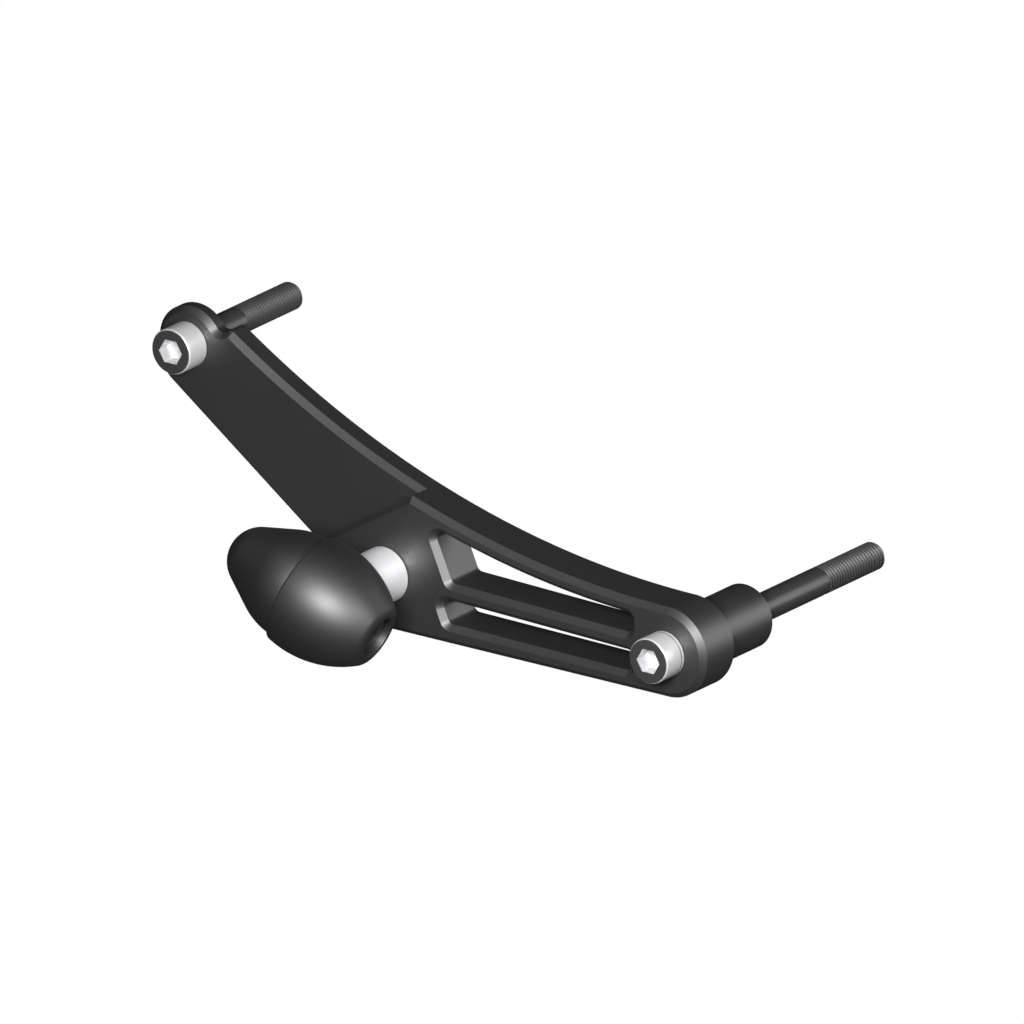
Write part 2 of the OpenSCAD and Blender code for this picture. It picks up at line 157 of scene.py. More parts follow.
# ---------- meshes ----------
def new_piece(name, mesh_maker, place):
    """A new object from a filled bmesh in millimetres, put in its place."""
    bm = bmesh.new()
    mesh_maker(bm)
    bmesh.ops.remove_doubles(bm, verts=bm.verts, dist=1e-4)
    bmesh.ops.dissolve_degenerate(bm, edges=bm.edges, dist=1e-5)
    bmesh.ops.recalc_face_normals(bm, faces=bm.faces)
    bmesh.ops.transform(bm, matrix=place, verts=bm.verts)
    mesh = bpy.data.meshes.new(name)
    bm.to_mesh(mesh)
    bm.free()
    piece = bpy.data.objects.new(name, mesh)
    bpy.context.scene.collection.objects.link(piece)
    return piece


def shade(piece, sharp=32):
    """Smooth shading, broken at edges that turn by more than so many degrees."""
    piece.data.shade_smooth()
    piece.data.set_sharp_from_angle(angle=math.radians(sharp))


def applied(piece):
    """Turns the piece's modifiers into plain mesh."""
    bpy.context.view_layer.update()
    shaped = piece.evaluated_get(bpy.context.evaluated_depsgraph_get())
    mesh = bpy.data.meshes.new_from_object(shaped)
    piece.modifiers.clear()
    old = piece.data
    piece.data = mesh
    mesh.name = piece.name
    bpy.data.meshes.remove(old)
    return piece


def combine(piece, other, operation):
    """Cuts the other piece out of this one, or joins it, and drops the other."""
    cut = piece.modifiers.new("cut", "BOOLEAN")
    cut.operation = operation
    cut.solver = "EXACT"
    cut.object = other
    applied(piece)
    bpy.data.objects.remove(other)
    return piece


def arc(centre, radius, start, stop, step=3.0):
    """Points of an arc as (radius, along), from one angle to another in degrees."""
    count = max(2, math.ceil(abs(stop - start) / step))
    return [tuple(Vector(centre) + polar(radius, start + (stop - start) * i / count)) for i in range(count + 1)]


def turned_rings(bm, outline, steps=TURN_STEPS, closed=False):
    """Rings of points round Z. A radius of zero is a pole; a radius may be a function of the angle."""
    rings = []
    for radius, along in outline:
        if radius == 0:
            rings.append([bm.verts.new((0, 0, along))] * steps)
            continue
        ring = []
        for i in range(steps):
            degrees = 360 * i / steps
            r = radius(degrees) if callable(radius) else radius
            ring.append(bm.verts.new((*polar(r, degrees), along)))
        rings.append(ring)
    pairs = list(zip(rings, rings[1:]))
    if closed:
        pairs.append((rings[-1], rings[0]))
    for low, high in pairs:
        for i in range(steps):
            k = (i + 1) % steps
            corners = dict.fromkeys((low[i], low[k], high[k], high[i]))
            if len(corners) > 2:
                bm.faces.new(list(corners))


def hexagon(flats, grow=0.0):
    """The radius of a hexagonal socket of that width across its flats, with corners at 0, 60, ..."""
    return lambda degrees: (flats / 2 + grow) / math.cos(math.radians(degrees % 60 - 30))


# ---------- the thread, made by geometry nodes ----------
THREAD_ROWS = (0.0, 0.125, 0.28125, 0.4375, 0.5625, 0.71875, 0.875)


def thread_tree():
    """A grid whose rows follow the thread's crests and roots, wrapped round Z from 0 to its length."""
    tree = bpy.data.node_groups.new("rolled thread", "GeometryNodeTree")
    sockets = {}
    for name, kind in (("Radius", "NodeSocketFloat"), ("Depth", "NodeSocketFloat"),
                       ("Pitch", "NodeSocketFloat"), ("Length", "NodeSocketFloat"),
                       ("Start Radius", "NodeSocketFloat"), ("End Radius", "NodeSocketFloat"),
                       ("Steps", "NodeSocketInt"), ("Material", "NodeSocketMaterial")):
        sockets[name] = tree.interface.new_socket(name, in_out="INPUT", socket_type=kind).identifier
    tree.interface.new_socket("Mesh", in_out="OUTPUT", socket_type="NodeSocketGeometry")
    nodes, links = tree.nodes, tree.links
    given = nodes.new("NodeGroupInput").outputs

    def maths(operation, *values):
        node = nodes.new("ShaderNodeMath")
        node.operation = operation
        for socket, value in zip(node.inputs, values):
            if isinstance(value, (int, float)):
                socket.default_value = value
            else:
                links.new(value, socket)
        return node.outputs[0]

    turns = maths("ADD", maths("CEIL", maths("DIVIDE", given["Length"], given["Pitch"])), 1)
    last_row = maths("MULTIPLY", turns, len(THREAD_ROWS))
    grid = nodes.new("GeometryNodeMeshGrid")
    grid.inputs["Size X"].default_value = 1
    links.new(last_row, grid.inputs["Size Y"])
    links.new(maths("ADD", given["Steps"], 1), grid.inputs["Vertices X"])
    links.new(maths("ADD", last_row, 1), grid.inputs["Vertices Y"])

    split = nodes.new("ShaderNodeSeparateXYZ")
    links.new(nodes.new("GeometryNodeInputPosition").outputs[0], split.inputs[0])
    around = maths("ADD", split.outputs["X"], 0.5)
    row = maths("ROUND", maths("ADD", split.outputs["Y"], maths("DIVIDE", last_row, 2)))
    pick = nodes.new("GeometryNodeIndexSwitch")
    pick.data_type = "FLOAT"
    while len(pick.index_switch_items) < len(THREAD_ROWS):
        pick.index_switch_items.new()
    links.new(maths("MODULO", row, len(THREAD_ROWS)), pick.inputs[0])
    for socket, value in zip(pick.inputs[1:], THREAD_ROWS):
        socket.default_value = value
    phase = pick.outputs[0]
    whole = maths("FLOOR", maths("DIVIDE", maths("ADD", row, 0.5), len(THREAD_ROWS)))
    turns_up = maths("SUBTRACT", maths("ADD", maths("ADD", whole, phase), around), 1)
    along = maths("MINIMUM", maths("MAXIMUM", maths("MULTIPLY", turns_up, given["Pitch"]), 0), given["Length"])

    # The profile: a crest an eighth of the pitch wide, a root a quarter wide, straight flanks between
    from_crest = maths("MULTIPLY", maths("ABSOLUTE", maths("SUBTRACT", phase, 0.5)), 2)
    height = maths("DIVIDE", maths("SUBTRACT", 0.75, from_crest), 0.625)
    height = maths("MINIMUM", maths("MAXIMUM", height, 0), 1)
    root = maths("SUBTRACT", given["Radius"], given["Depth"])
    radius = maths("ADD", root, maths("MULTIPLY", given["Depth"], height))
    # Both ends run into cones at 45 degrees
    radius = maths("MINIMUM", radius, maths("ADD", given["Start Radius"], along))
    radius = maths("MAXIMUM", radius, maths("SUBTRACT", given["Start Radius"], along))
    to_end = maths("SUBTRACT", given["Length"], along)
    radius = maths("MINIMUM", radius, maths("ADD", given["End Radius"], to_end))

    angle = maths("MULTIPLY", around, 2 * math.pi)
    joined = nodes.new("ShaderNodeCombineXYZ")
    links.new(maths("MULTIPLY", radius, maths("COSINE", angle)), joined.inputs["X"])
    links.new(maths("MULTIPLY", radius, maths("SINE", angle)), joined.inputs["Y"])
    links.new(along, joined.inputs["Z"])
    wrap = nodes.new("GeometryNodeSetPosition")
    links.new(grid.outputs["Mesh"], wrap.inputs["Geometry"])
    links.new(joined.outputs[0], wrap.inputs["Position"])
    weld = nodes.new("GeometryNodeMergeByDistance")
    weld.inputs["Distance"].default_value = 1e-3
    links.new(wrap.outputs["Geometry"], weld.inputs["Geometry"])
    real = nodes.new("GeometryNodeRealizeInstances")
    links.new(weld.outputs["Geometry"], real.inputs["Geometry"])
    finish = nodes.new("GeometryNodeSetMaterial")
    links.new(real.outputs[0], finish.inputs["Geometry"])
    links.new(given["Material"], finish.inputs["Material"])
    links.new(finish.outputs["Geometry"], nodes.new("NodeGroupOutput").inputs["Mesh"])
    return tree, sockets


THREAD_TREE, THREAD_INPUTS = thread_tree()


def thread_mesh(diameter, length, start_r, end_r, material):
    """The thread's surface as a plain mesh in millimetres, open at both ends."""
    pitch = PITCH[diameter]
    holder = bpy.data.objects.new("thread", bpy.data.meshes.new("thread"))
    bpy.context.scene.collection.objects.link(holder)
    cut = holder.modifiers.new("thread", "NODES")
    cut.node_group = THREAD_TREE
    values = {"Radius": diameter / 2, "Depth": 0.6134 * pitch, "Pitch": pitch, "Length": length,
              "Start Radius": start_r, "End Radius": end_r, "Steps": TURN_STEPS, "Material": material}
    for name, value in values.items():
        cut[THREAD_INPUTS[name]] = value
    bpy.context.view_layer.update()
    mesh = bpy.data.meshes.new_from_object(holder.evaluated_get(bpy.context.evaluated_depsgraph_get()))
    bpy.data.objects.remove(holder)
    return mesh


# ---------- screws ----------
def cap_screw(name, place, size, material):
    """A socket cap screw along Z with its seat at the origin, its head below and its thread above."""
    d, l, head_d, head_h, flats, thread = size
    neck = d / 10
    neck_r = d / 2 - neck / 3
    rim = head_d / 16
    depth = head_h / 2
    thread_from = l - thread
    tip_r = d / 2 - 0.6134 * PITCH[d] - 0.08
    head = [(0, flats / 4 - depth), (0.12 * flats, 0.19 * flats - depth), (0.485 * flats, -depth),
            (hexagon(flats), -depth), (hexagon(flats), EDGE_BREAK - head_h),
            (hexagon(flats, EDGE_BREAK), -head_h)]
    head += arc((head_d / 2 - rim, rim - head_h), rim, -90, 0, 10)
    head += [(head_d / 2, -0.3), (head_d / 2 - 0.3, 0), (d / 2 + 0.4, 0)]
    head += arc((d / 2 + 0.4, 0.4), 0.4, 270, 180, 30)[1:]
    shank = [(d / 2, thread_from - neck - 0.2), (neck_r, thread_from - neck + 0.1), (neck_r, thread_from)]
    surface = thread_mesh(d, thread, neck_r, tip_r, material)
    surface.transform(Matrix.Translation((0, 0, thread_from)))

    def fill(bm):
        turned_rings(bm, head + shank)
        turned_rings(bm, [(tip_r, l), (0.35 * d, l), (0, l)])
        bm.from_mesh(surface)

    piece = new_piece(name, fill, place)
    bpy.data.meshes.remove(surface)
    shade(piece, 34)
    return piece


# ---------- the bracket ----------
UPPER = Vector((0, 0))
LOWER = Vector((BOLT_DX, -BOLT_DROP))
SLIDER = Vector((SLIDER_DX, -SLIDER_DROP))
TOP_C = LOWER + polar(TOP_R + LOWER_EYE_R, 90 - TOP_LEAN)
HEEL_NORMAL = polar(1, 270 - HEEL_SLOPE)
HEEL_C = UPPER - Vector((0, (HEEL_OFF - UPPER_EYE_R) / math.cos(math.radians(HEEL_SLOPE))))
HEEL_P = HEEL_C + UPPER_EYE_R * HEEL_NORMAL
BASE_Z = LOWER.y - LOWER_EYE_R
CORNER = meet(HEEL_P, left_of(HEEL_NORMAL), Vector((0, BASE_Z)), Vector((1, 0)))
NOTCH_C = UPPER + polar(UPPER_EYE_R + NOTCH_R, NOTCH_TURN)
HORN_R = CHAMFER + HORN_FACE_R
HORN_C = circles_meet(TOP_C, TOP_R + HORN_R, NOTCH_C, NOTCH_R + HORN_R)


def bend(centre, radius, start, stop, side):
    """An arc of an outline: pairs of a point and the same point moved into the metal by one millimetre.
    Side 1 has the metal inside the arc's circle, side -1 outside it."""
    count = max(2, math.ceil(abs(stop - start) / (2.5 if radius < 100 else 0.4)))
    pairs = []
    for i in range(count + 1):
        outward = polar(1, start + (stop - start) * i / count)
        pairs.append((centre + radius * outward, -side * outward))
    return pairs


def bracket_outline():
    """The bracket's outline, anticlockwise from the notch beside the upper eye."""
    horn_from = angle_of(TOP_C - HORN_C)
    horn_to = angle_of(NOTCH_C - HORN_C) % 360
    base_in = Vector((0, 1))
    corner_in = (base_in - HEEL_NORMAL) / (1 + base_in.dot(-HEEL_NORMAL))
    return (bend(UPPER, UPPER_EYE_R, NOTCH_TURN, 180, 1)
            + bend(HEEL_C, UPPER_EYE_R, 180, 270 - HEEL_SLOPE, 1)
            + [(CORNER, corner_in)]
            + bend(LOWER, LOWER_EYE_R, -90, 90 - TOP_LEAN, 1)
            + bend(TOP_C, TOP_R, 270 - TOP_LEAN, 180 + horn_from, -1)
            + bend(HORN_C, HORN_R, horn_from, horn_to, 1)
            + bend(NOTCH_C, NOTCH_R, horn_to - 180, NOTCH_TURN - 180, -1))


def slot_outlines():
    """The two lightening slots, anticlockwise, as outlines with the metal outside."""
    lean = polar(1, SLOT_LEAN - 90)
    rib, rail = polar(1, -RIB_SLOPE), polar(1, -RAIL_SLOPE)
    up = Vector((0, 1))
    low_p = SLIDER + LOW_SLOT_START * left_of(lean)
    up_p = SLIDER + UPPER_SLOT_START * left_of(lean)
    end_p = Vector((LOWER.x - SLOT_END, 0))
    rail_p = meet(low_p, lean, Vector((0, BASE_Z + LOW_RAIL)), Vector((1, 0)))
    rib_low_p = rail_p + Vector((0, LOW_SLOT_H))
    rib_up_p = rib_low_p + Vector((0, SLOT_RIB))
    top_c = TOP_C - Vector((TOP_RAIL_SHIFT, 0))
    top_r = TOP_R + TOP_RAIL - TOP_RAIL_SHIFT * (TOP_C.x - up_p.x) / TOP_R

    def inset(p, d):
        return p + SLOT_R * left_of(d)

    def corner(p, d, q, e):
        return meet(inset(p, d), d, inset(q, e), e)

    lean_a, rib_a, rail_a = 180 + SLOT_LEAN, 90 - RIB_SLOPE, -90 - RAIL_SLOPE
    low = (bend(corner(low_p, lean, rail_p, rail), SLOT_R, lean_a, 360 + rail_a, -1)
           + bend(corner(end_p, up, rail_p, rail), SLOT_R, rail_a, 0, -1)
           + bend(corner(end_p, up, rib_low_p, -rib), SLOT_R, 0, rib_a, -1)
           + bend(corner(low_p, lean, rib_low_p, -rib), SLOT_R, rib_a, lean_a, -1))
    high_right = leave_circle(inset(end_p, up), -up, top_c, top_r + SLOT_R)
    high_left = leave_circle(inset(up_p, lean), lean, top_c, top_r + SLOT_R)
    right_a, left_a = angle_of(top_c - high_right), angle_of(top_c - high_left)
    high = (bend(corner(up_p, lean, rib_up_p, rib), SLOT_R, lean_a, 270 - RIB_SLOPE, -1)
            + bend(corner(end_p, up, rib_up_p, rib), SLOT_R, -90 - RIB_SLOPE, 0, -1)
            + bend(high_right, SLOT_R, 0, right_a, -1)
            + bend(top_c, top_r, 180 + right_a, 180 + left_a, 1)
            + bend(high_left, SLOT_R, left_a, lean_a, -1))
    return low, high


def stack(bm, outline, levels):
    """A closed solid: the outline repeated at each (height, offset into the metal), capped at both ends."""
    loops = []
    for height, offset in levels:
        loops.append([bm.verts.new((*(p + offset * inward), height)) for p, inward in outline])
    for low, high in zip(loops, loops[1:]):
        for i in range(len(low)):
            k = (i + 1) % len(low)
            bm.faces.new((low[i], low[k], high[k], high[i]))
    bm.faces.new(loops[-1])
    bm.faces.new(list(reversed(loops[0])))


PLATE_PLACE = shift(0, EYE_RELIEF, 0) @ turn(90, "X") @ TO_METRES


def in_plate(centre):
    """A place on the plate, for pieces turned round its thickness."""
    return Matrix.Translation((centre.x, centre.y, 0))


def make_bracket():
    """The plate with its thick end, slots and holes, with broken edges."""
    outline = bracket_outline()
    slim = new_piece("arm", lambda bm: stack(bm, outline, [(0, 0), (ARM_T - CHAMFER, 0), (ARM_T, CHAMFER)]),
                     Matrix.Identity(4))
    thick = new_piece("milled bracket",
                      lambda bm: stack(bm, outline, [(0, 0), (PAD_T - CHAMFER, 0), (PAD_T, CHAMFER)]),
                      Matrix.Identity(4))

    along = polar(1, STEP_SLOPE)
    up = left_of(along)
    step_p = SLIDER + STEP_OFF * up
    reach = 2 * BOLT_DX

    def above_step(bm):
        section = [(-CHAMFER - OVER, PAD_T + OVER), (0, PAD_T - CHAMFER), (0, -OVER), (reach, -OVER),
                   (reach, PAD_T + OVER)]
        ends = [[bm.verts.new((*(step_p + s * along + n * up), h)) for n, h in section] for s in (-reach, reach)]
        for i in range(len(section)):
            k = (i + 1) % len(section)
            bm.faces.new((ends[0][i], ends[0][k], ends[1][k], ends[1][i]))
        bm.faces.new(ends[0])
        bm.faces.new(list(reversed(ends[1])))

    combine(thick, new_piece("above step", above_step, Matrix.Identity(4)), "DIFFERENCE")
    combine(thick, slim, "UNION")

    def openings(bm):
        for slot in slot_outlines():
            stack(bm, slot, [(-OVER, 0), (PAD_T - CHAMFER, 0), (PAD_T + OVER, CHAMFER + OVER)])
        bores = ((UPPER, [(RELIEF_R, -OVER), (RELIEF_R, EYE_RELIEF), (BOLT_D / 2 + HOLE_GAP, EYE_RELIEF),
                          (BOLT_D / 2 + HOLE_GAP, PAD_T)]),
                 (LOWER, [(BOLT_D / 2 + HOLE_GAP, -OVER), (BOLT_D / 2 + HOLE_GAP, PAD_T + OVER)]),
                 (SLIDER, [(STUD_HEAD_D / 2 + HOLE_GAP, -OVER),
                           (STUD_HEAD_D / 2 + HOLE_GAP, STUD_SINK + STUD_HEAD_H),
                           (STUD_D / 2 + HOLE_GAP, STUD_SINK + STUD_HEAD_H), (STUD_D / 2 + HOLE_GAP, PAD_T + OVER)]))
        for centre, bore in bores:
            before = set(bm.verts)
            turned_rings(bm, [(0, bore[0][1])] + bore + [(0, bore[-1][1])])
            bmesh.ops.transform(bm, matrix=in_plate(centre), verts=[v for v in bm.verts if v not in before])

    combine(thick, new_piece("openings", openings, Matrix.Identity(4)), "DIFFERENCE")
    thick.data.transform(PLATE_PLACE)
    tidy = bmesh.new()
    tidy.from_mesh(thick.data)
    bmesh.ops.remove_doubles(tidy, verts=tidy.verts, dist=2e-6)
    bmesh.ops.dissolve_limit(tidy, angle_limit=math.radians(0.05), verts=tidy.verts, edges=tidy.edges)
    tidy.to_mesh(thick.data)
    tidy.free()
    thick.data.shade_smooth()
    soften = thick.modifiers.new("broken edges", "BEVEL")
    soften.width = EDGE_BREAK * MM
    soften.segments = 2
    soften.limit_method = "ANGLE"
    soften.angle_limit = math.radians(28)
    soften.harden_normals = True
    return applied(thick)


# ---------- the spacers ----------
def make_lower_spacer():
    """The black spacer behind the lower eye, with its edges broken and a plain bore."""
    r, bore, edge = LOW_SPACER_D / 2, BOLT_D / 2 + HOLE_GAP, 0.6
    outline = [(bore, 0.3), (bore + 0.3, 0), (r - edge, 0), (r, edge), (r, LOW_SPACER_L - edge),
               (r - edge, LOW_SPACER_L), (bore + 0.3, LOW_SPACER_L), (bore, LOW_SPACER_L - 0.3)]
    piece = new_piece("lower spacer sleeve", lambda bm: turned_rings(bm, outline, 96, closed=True),
                      LOWER_SPACER_PLACE)
    shade(piece, 25)
    return piece


def make_slider_spacer():
    """The bright spacer that carries the slider: a collar, a spigot, a tapped bore and a cross hole."""
    bore = STUD_D / 2 + THREAD_GAP
    deep = STUD_L + STUD_SINK + STUD_HEAD_H - PAD_T + DRILL_PAST
    edge = 0.5
    outline = [(0, deep + 2), (bore, deep), (bore, 0.5), (bore + 0.5, 0), (SPACER_D / 2 - edge, 0),
               (SPACER_D / 2, edge), (SPACER_D / 2, SPACER_L - edge), (SPACER_D / 2 - edge, SPACER_L),
               (SPIGOT_D / 2, SPACER_L), (SPIGOT_D / 2, SPIGOT_END - edge), (SPIGOT_D / 2 - edge, SPIGOT_END),
               (0, SPIGOT_END)]
    piece = new_piece("turned slider spacer", lambda bm: turned_rings(bm, outline, 96), SPACER_PLACE)
    cross = [(0, -SPIGOT_D), (CLAMP_HOLE_R, -SPIGOT_D), (CLAMP_HOLE_R, SPIGOT_D), (0, SPIGOT_D)]
    combine(piece, new_piece("cross hole", lambda bm: turned_rings(bm, cross), SLIDER_PLACE), "DIFFERENCE")
    shade(piece, 25)
    return piece


# ---------- the slider ----------
def body_outline():
    """The slider body's section as (radius, distance from the seam): outside first, then its holes."""
    end_in = BODY_R - END_FLAT_R
    end_far = BODY_L - END_R - BODY_FULL
    curve = (end_in ** 2 + end_far ** 2 - END_R ** 2) / (2 * (end_in - END_R))
    centre = Vector((BODY_R - curve, BODY_FULL))
    rim_c = Vector((centre.x + math.sqrt((curve - RIM_R) ** 2 - (RIM_R - BODY_FULL) ** 2), RIM_R))
    end_c = Vector((END_FLAT_R, BODY_L - END_R))
    rim_a, end_a = angle_of(rim_c - centre), angle_of(end_c - centre)
    seat = CLAMP_SEAT + SEAM_OFF
    recess = RECESS_D / 2
    return (arc(rim_c, RIM_R, -90, rim_a, 10) + arc(centre, curve, rim_a, end_a, 1.2)[1:]
            + arc(end_c, END_R, end_a, 90, 4)[1:]
            + arc((recess + 0.4, BODY_L - 0.4), 0.4, 90, 180, 18)
            + [(recess, seat), (CLAMP_HOLE_R, seat), (CLAMP_HOLE_R, 0)])


def make_slider_body():
    """The moulded body, with the recess for its screw and the pocket for the spacer."""
    body = new_piece("slider body shell", lambda bm: turned_rings(bm, body_outline(), 160, closed=True),
                     SEAM_PLACE)
    collar, spigot = SPACER_D / 2 + LOOSE_GAP, SPIGOT_D / 2 + LOOSE_GAP
    end = SPIGOT_END + LOOSE_GAP
    pocket = [(0, 0), (collar, 0), (collar, SPACER_L), (spigot, SPACER_L), (spigot, end), (0, end)]
    combine(body, new_piece("pocket", lambda bm: turned_rings(bm, pocket, 96), SPACER_PLACE), "DIFFERENCE")
    shade(body, 30)
    return body


def nose_surface():
    """Radius of the nose's shoulder at a distance along its own axis, and its rings up to there."""
    flank = math.radians(NOSE_FLANK)
    tip_t = NOSE_L - TIP_R
    flank_off = TIP_R + tip_t * math.sin(flank)
    shoulder = (flank_off - NOSE_R * math.cos(flank)) / (1 - math.cos(flank))
    tip = arc((0, -tip_t), TIP_R, -90, -NOSE_FLANK, 3)
    tip[0] = (0, -NOSE_L)
    curve = arc((NOSE_R - shoulder, 0), shoulder, -NOSE_FLANK, -0.6, 1.2)
    return (lambda t: NOSE_R - shoulder + math.sqrt(shoulder * shoulder - t * t)), tip + curve


def make_slider_nose():
    """The nose, leaned up a little from the slider's axis and cut flat at the seam."""
    shoulder_r, rings = nose_surface()
    lean = math.radians(NOSE_RISE)
    steps = 160
    bore, deep = INSERT_D / 2 + THREAD_GAP, CLAMP_TIP - DRILL_PAST

    def fill(bm):
        before = set(bm.verts)
        turned_rings(bm, rings, steps)
        outside = [v for v in bm.verts if v not in before]
        bmesh.ops.transform(bm, matrix=Matrix.Rotation(lean, 4, "Y"), verts=outside)
        last = outside[-steps:]
        for inset, depth in ((0.0, 0.5), (0.5, 0.0)):
            ring = []
            for i in range(steps):
                degrees = 360 * i / steps
                t = 0.0
                for _ in range(3):
                    t = shoulder_r(t) * math.cos(math.radians(degrees)) * math.tan(lean) - depth / math.cos(lean)
                spot = Matrix.Rotation(lean, 3, "Y") @ Vector((*polar(shoulder_r(t) - inset, degrees), t))
                ring.append(bm.verts.new((spot.x, spot.y, -depth)))
            for i in range(steps):
                k = (i + 1) % steps
                bm.faces.new((last[i], last[k], ring[k], ring[i]))
            last = ring
        inner = [(bore + 0.3, 0), (bore, -0.3), (bore, -INSERT_L), (CLAMP_HOLE_R, -INSERT_L),
                 (CLAMP_HOLE_R, deep), (0, deep - 2)]
        before = set(bm.verts)
        turned_rings(bm, inner, steps)
        mouth = [v for v in bm.verts if v not in before][:steps]
        for i in range(steps):
            k = (i + 1) % steps
            bm.faces.new((last[i], last[k], mouth[k], mouth[i]))

    nose = new_piece("slider nose shell", fill, SEAM_PLACE)
    shade(nose, 30)
    return nose


# ---------- finishes ----------
def group(name, inputs, outputs):
    """A shader node group with those named inputs and outputs."""
    tree = bpy.data.node_groups.new(name, "ShaderNodeTree")
    for socket, kind, value in inputs:
        made = tree.interface.new_socket(socket, in_out="INPUT", socket_type=kind)
        if value is not None:
            made.default_value = value
    for socket, kind in outputs:
        tree.interface.new_socket(socket, in_out="OUTPUT", socket_type=kind)
    return tree, tree.nodes.new("NodeGroupInput").outputs, tree.nodes.new("NodeGroupOutput").inputs


class Wiring:
    """Short words for adding and joining nodes in one tree."""

    def __init__(self, tree):
        self.nodes, self.links = tree.nodes, tree.links

    def put(self, socket, value):
        if isinstance(value, bpy.types.NodeSocket):
            self.links.new(value, socket)
        else:
            socket.default_value = value

    def maths(self, operation, *values):
        node = self.nodes.new("ShaderNodeMath")
        node.operation = operation
        for socket, value in zip(node.inputs, values):
            self.put(socket, value)
        return node.outputs[0]

    def spread(self, value, low, high):
        """The value from 0 to 1 spread between low and high."""
        node = self.nodes.new("ShaderNodeMapRange")
        for name, given in (("Value", value), ("To Min", low), ("To Max", high)):
            self.put(node.inputs[name], given)
        return node.outputs["Result"]

    def noise(self, vector, scale, detail=2.0):
        node = self.nodes.new("ShaderNodeTexNoise")
        self.put(node.inputs["Vector"], vector)
        self.put(node.inputs["Scale"], scale)
        self.put(node.inputs["Detail"], detail)
        return node.outputs["Fac"]

    def blend(self, amount, first, second):
        node = self.nodes.new("ShaderNodeMix")
        node.data_type = "RGBA"
        self.put(node.inputs[0], amount)
        self.put(node.inputs[6], first)
        self.put(node.inputs[7], second)
        return node.outputs[2]


def grain_group():
    """Fine grain of a blasted, moulded or turned surface: its roughness, its height and its mottle."""
    tree, given, out = group("satin grain", [
        ("Vector", "NodeSocketVector", None), ("Grain Scale", "NodeSocketFloat", 3000.0),
        ("Mottle Scale", "NodeSocketFloat", 60.0), ("Rough Low", "NodeSocketFloat", 0.35),
        ("Rough High", "NodeSocketFloat", 0.45)],
        [("Roughness", "NodeSocketFloat"), ("Height", "NodeSocketFloat"), ("Mottle", "NodeSocketFloat")])
    wire = Wiring(tree)
    fine = wire.noise(given["Vector"], given["Grain Scale"])
    cloud = wire.noise(given["Vector"], given["Mottle Scale"], 4.0)
    both = wire.maths("ADD", wire.maths("MULTIPLY", fine, 0.5), wire.maths("MULTIPLY", cloud, 0.5))
    wire.put(out["Roughness"], wire.spread(both, given["Rough Low"], given["Rough High"]))
    wire.put(out["Height"], fine)
    wire.put(out["Mottle"], cloud)
    return tree


def wear_group():
    """A mask of the edges where handling has thinned the finish, broken up by noise."""
    tree, given, out = group("edge wear", [
        ("Vector", "NodeSocketVector", None), ("Reach", "NodeSocketFloat", 0.0004),
        ("Amount", "NodeSocketFloat", 1.0), ("Break Up Scale", "NodeSocketFloat", 900.0)],
        [("Mask", "NodeSocketFloat")])
    wire = Wiring(tree)
    rounded = wire.nodes.new("ShaderNodeBevel")
    rounded.samples = 4
    wire.put(rounded.inputs["Radius"], given["Reach"])
    plain = wire.nodes.new("ShaderNodeNewGeometry")
    dot = wire.nodes.new("ShaderNodeVectorMath")
    dot.operation = "DOT_PRODUCT"
    wire.put(dot.inputs[0], rounded.outputs[0])
    wire.put(dot.inputs[1], plain.outputs["Normal"])
    edge = wire.maths("MULTIPLY", wire.maths("SUBTRACT", 1.0, dot.outputs["Value"]), 8.0)
    broken = wire.maths("SUBTRACT", wire.noise(given["Vector"], given["Break Up Scale"], 3.0), 0.35)
    mask = wire.maths("MULTIPLY", wire.maths("MULTIPLY", edge, broken), given["Amount"])
    wire.put(out["Mask"], wire.maths("MINIMUM", wire.maths("MAXIMUM", mask, 0.0), 1.0))
    return tree


GRAIN = grain_group()
WEAR = wear_group()


